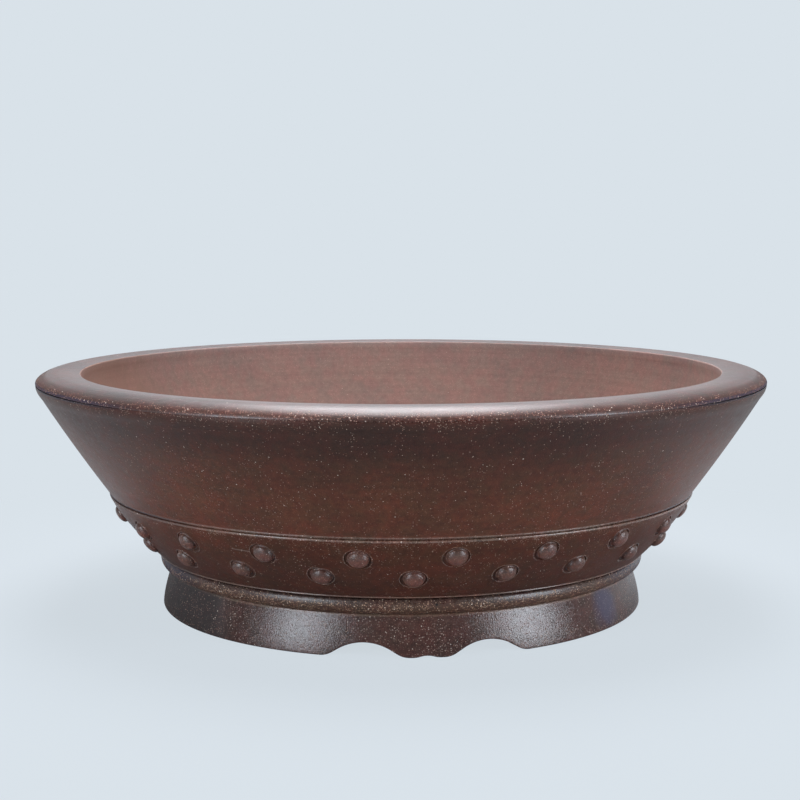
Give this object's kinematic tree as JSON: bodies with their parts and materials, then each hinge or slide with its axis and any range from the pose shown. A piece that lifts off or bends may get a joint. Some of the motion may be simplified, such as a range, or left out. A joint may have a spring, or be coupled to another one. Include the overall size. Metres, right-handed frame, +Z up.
{
  "type": "flower pot",
  "caption": "Round drum flower pot of unglazed brown clay: flared wall, heavy rolled rim, belt of domed studs, bead and a foot ring with cusped cut-outs.",
  "frame": {"origin": "centre of the pot on the ground, in the plane of the foot ring's underside", "axes": "+Z up along the pot's turning axis, -Y towards the side that the picture shows, +X to the right in that view"},
  "size_m": [0.4, 0.4, 0.1299],
  "materials": {
    "clay": "unglazed purple-brown stoneware with fine pale grit, burnished to a satin sheen",
    "inner_clay": "unglazed paler pinkish-brown stoneware, wiped and matte"
  },
  "bodies": {
    "root": {"rim": "clay", "wall": "clay", "stud_belt": "clay", "waist_bead": "clay", "foot_ring": "clay", "floor_slab": "inner_clay", "stud_upper_01": "clay", "stud_upper_02": "clay", "stud_upper_03": "clay", "stud_upper_04": "clay", "stud_upper_05": "clay", "stud_upper_06": "clay", "stud_upper_07": "clay", "stud_upper_08": "clay", "stud_upper_09": "clay", "stud_upper_10": "clay", "stud_upper_11": "clay", "stud_upper_12": "clay", "stud_upper_13": "clay", "stud_upper_14": "clay", "stud_upper_15": "clay", "stud_upper_16": "clay", "stud_upper_17": "clay", "stud_upper_18": "clay", "stud_upper_19": "clay", "stud_upper_20": "clay", "stud_upper_21": "clay", "stud_lower_01": "clay", "stud_lower_02": "clay", "stud_lower_03": "clay", "stud_lower_04": "clay", "stud_lower_05": "clay", "stud_lower_06": "clay", "stud_lower_07": "clay", "stud_lower_08": "clay", "stud_lower_09": "clay", "stud_lower_10": "clay", "stud_lower_11": "clay", "stud_lower_12": "clay", "stud_lower_13": "clay", "stud_lower_14": "clay", "stud_lower_15": "clay", "stud_lower_16": "clay", "stud_lower_17": "clay", "stud_lower_18": "clay", "stud_lower_19": "clay", "stud_lower_20": "clay", "stud_lower_21": "clay"}
  },
  "joints": []
}
